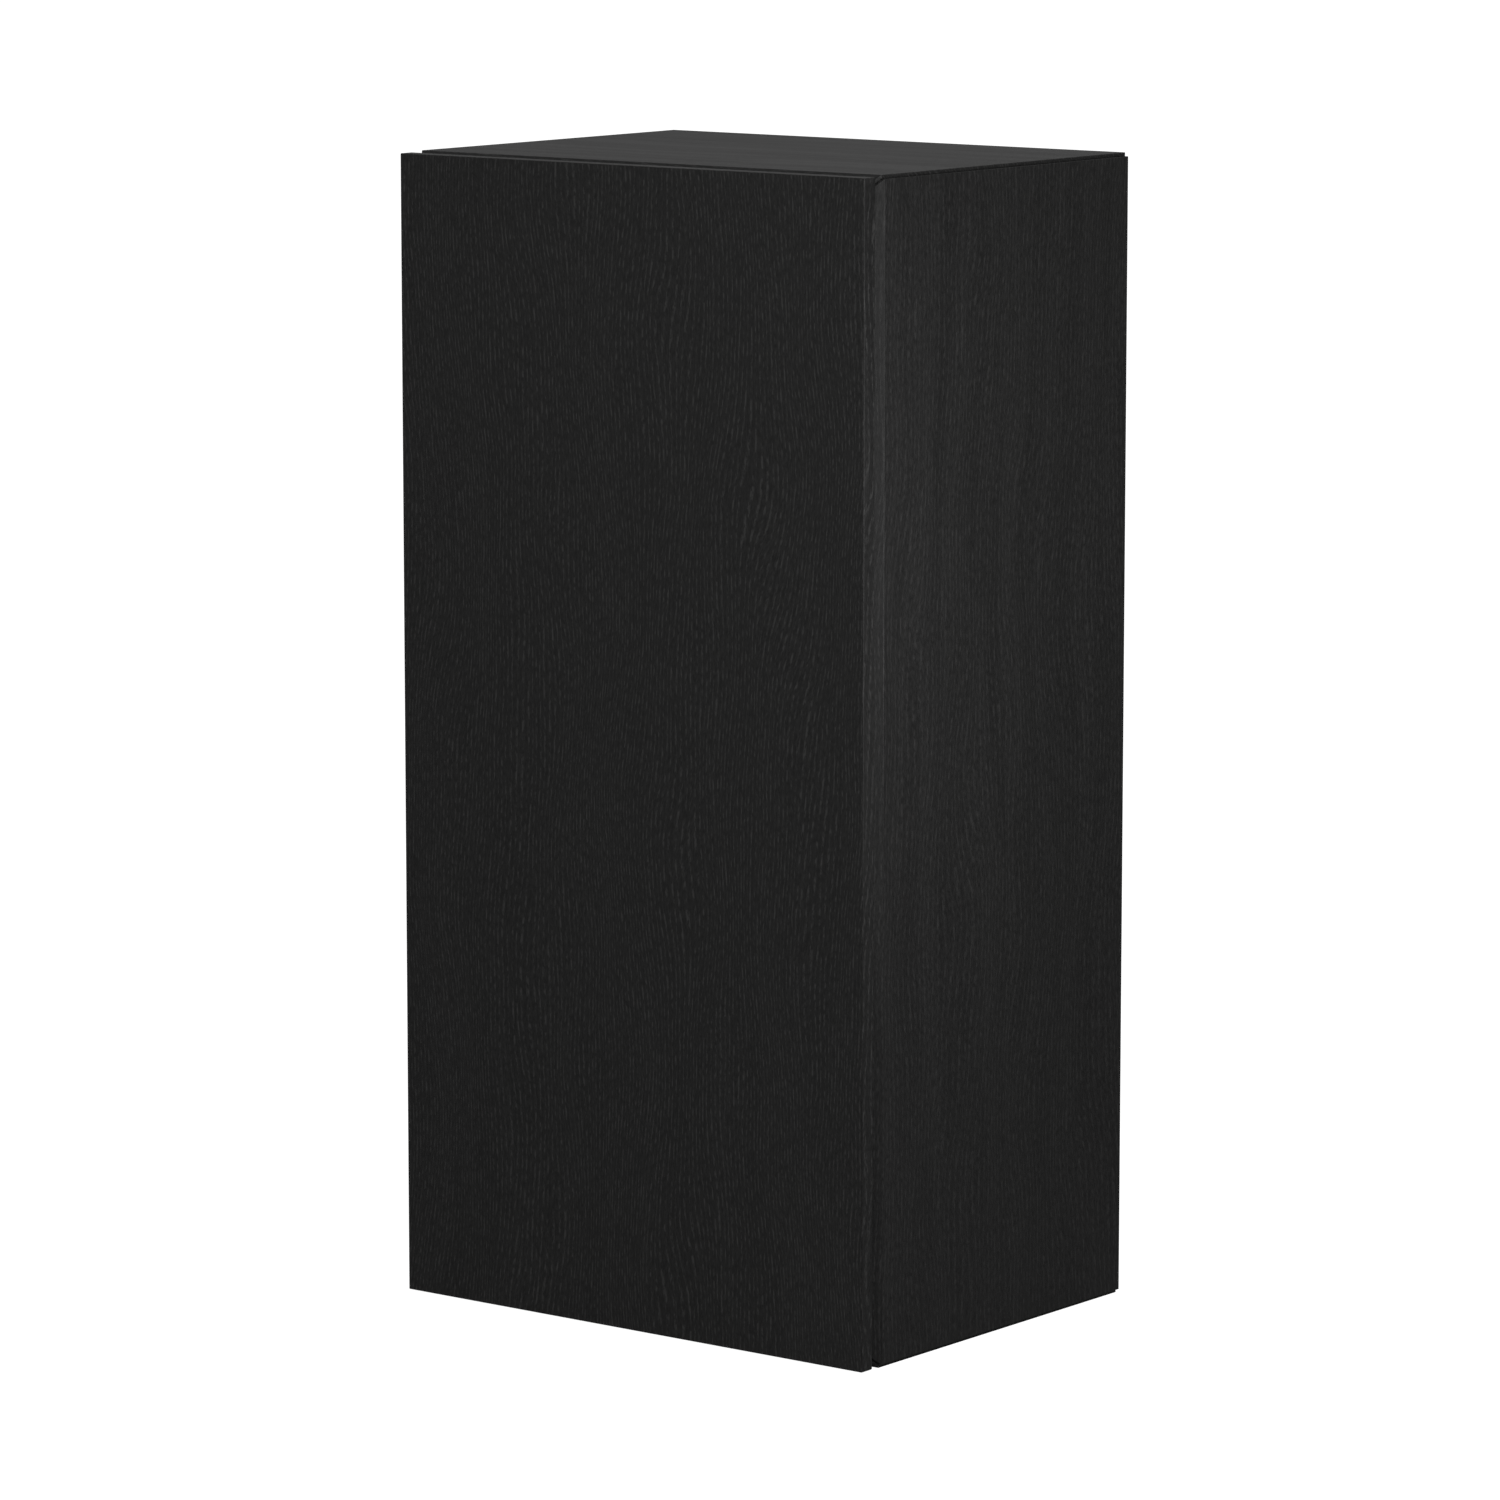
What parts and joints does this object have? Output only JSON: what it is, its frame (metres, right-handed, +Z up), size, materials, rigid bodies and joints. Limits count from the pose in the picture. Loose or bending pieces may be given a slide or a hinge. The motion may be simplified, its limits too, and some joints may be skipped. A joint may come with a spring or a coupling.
{
  "type": "wall cabinet",
  "caption": "Tall narrow black oak wall cabinet with a flat handleless door, bevelled front edges that leave a finger gap behind it, and loose shelves.",
  "frame": {"origin": "middle of the underside, at the centre of the whole box's width and depth", "axes": "+Z up, -Y out of the door's face, +X to the right as seen facing the door"},
  "size_m": [0.4, 0.3, 0.8],
  "materials": {
    "carcass_oak": "open-pored oak veneer stained black, matt lacquer",
    "door_oak": "open-pored oak veneer stained black, grain upright, matt lacquer",
    "shelf_oak": "open-pored oak veneer stained black, grain across, matt lacquer",
    "back_board": "thin board with a black foil",
    "nickel": "nickel-plated pressed steel, satin bright",
    "zinc": "bright zinc-plated steel",
    "black_plastic": "fine-textured moulded plastic",
    "clear_rubber": "clear soft polyurethane"
  },
  "bodies": {
    "cabinet": {"arm_pin_lower": "zinc", "arm_pin_upper": "zinc", "arm_screw_lower": "zinc", "arm_screw_upper": "zinc", "back_panel": "back_board", "bottom_panel": "carcass_oak", "hanger_adjuster_left": "zinc", "hanger_adjuster_right": "zinc", "hanger_cap_left": "black_plastic", "hanger_cap_right": "black_plastic", "hanger_hook_left": "zinc", "hanger_hook_right": "zinc", "hanger_housing_left": "zinc", "hanger_housing_right": "zinc", "hanger_screw_left_a": "zinc", "hanger_screw_left_b": "zinc", "hanger_screw_right_a": "zinc", "hanger_screw_right_b": "zinc", "hinge_arm_lower": "nickel", "hinge_arm_upper": "nickel", "mounting_plate_lower": "nickel", "mounting_plate_upper": "nickel", "plate_screw_lower_a": "zinc", "plate_screw_lower_b": "zinc", "plate_screw_upper_a": "zinc", "plate_screw_upper_b": "zinc", "shelf_lower": "shelf_oak", "shelf_pin_lower_front_left": "nickel", "shelf_pin_lower_front_right": "nickel", "shelf_pin_lower_rear_left": "nickel", "shelf_pin_lower_rear_right": "nickel", "shelf_pin_upper_front_left": "nickel", "shelf_pin_upper_front_right": "nickel", "shelf_pin_upper_rear_left": "nickel", "shelf_pin_upper_rear_right": "nickel", "shelf_upper": "shelf_oak", "side_panel_left": "carcass_oak", "side_panel_right": "carcass_oak", "top_panel": "carcass_oak"},
    "hinge_links": {"hinge_link_lower": "nickel", "hinge_link_upper": "nickel"},
    "door": {"cup_pin_lower": "zinc", "cup_pin_upper": "zinc", "cup_screw_lower_a": "zinc", "cup_screw_lower_b": "zinc", "cup_screw_upper_a": "zinc", "cup_screw_upper_b": "zinc", "door_bumper_lower": "clear_rubber", "door_bumper_upper": "clear_rubber", "door_panel": "door_oak", "hinge_cup_lower": "nickel", "hinge_cup_upper": "nickel"}
  },
  "joints": [
    {"name": "link_swing", "type": "hinge", "parent": "cabinet", "child": "hinge_links", "pos_m": [-0.1575, -0.1325, 0.4], "axis": [0, 0, -1], "range_deg": [-39.2, 0]},
    {"name": "door_swing", "type": "hinge", "parent": "hinge_links", "child": "door", "pos_m": [-0.1861, -0.1394, 0.4], "axis": [0, 0, -1], "range_deg": [0, 140]}
  ],
  "couplings": [
    {"joint": "link_swing", "follows": "door_swing", "ratio": -0.28}
  ]
}
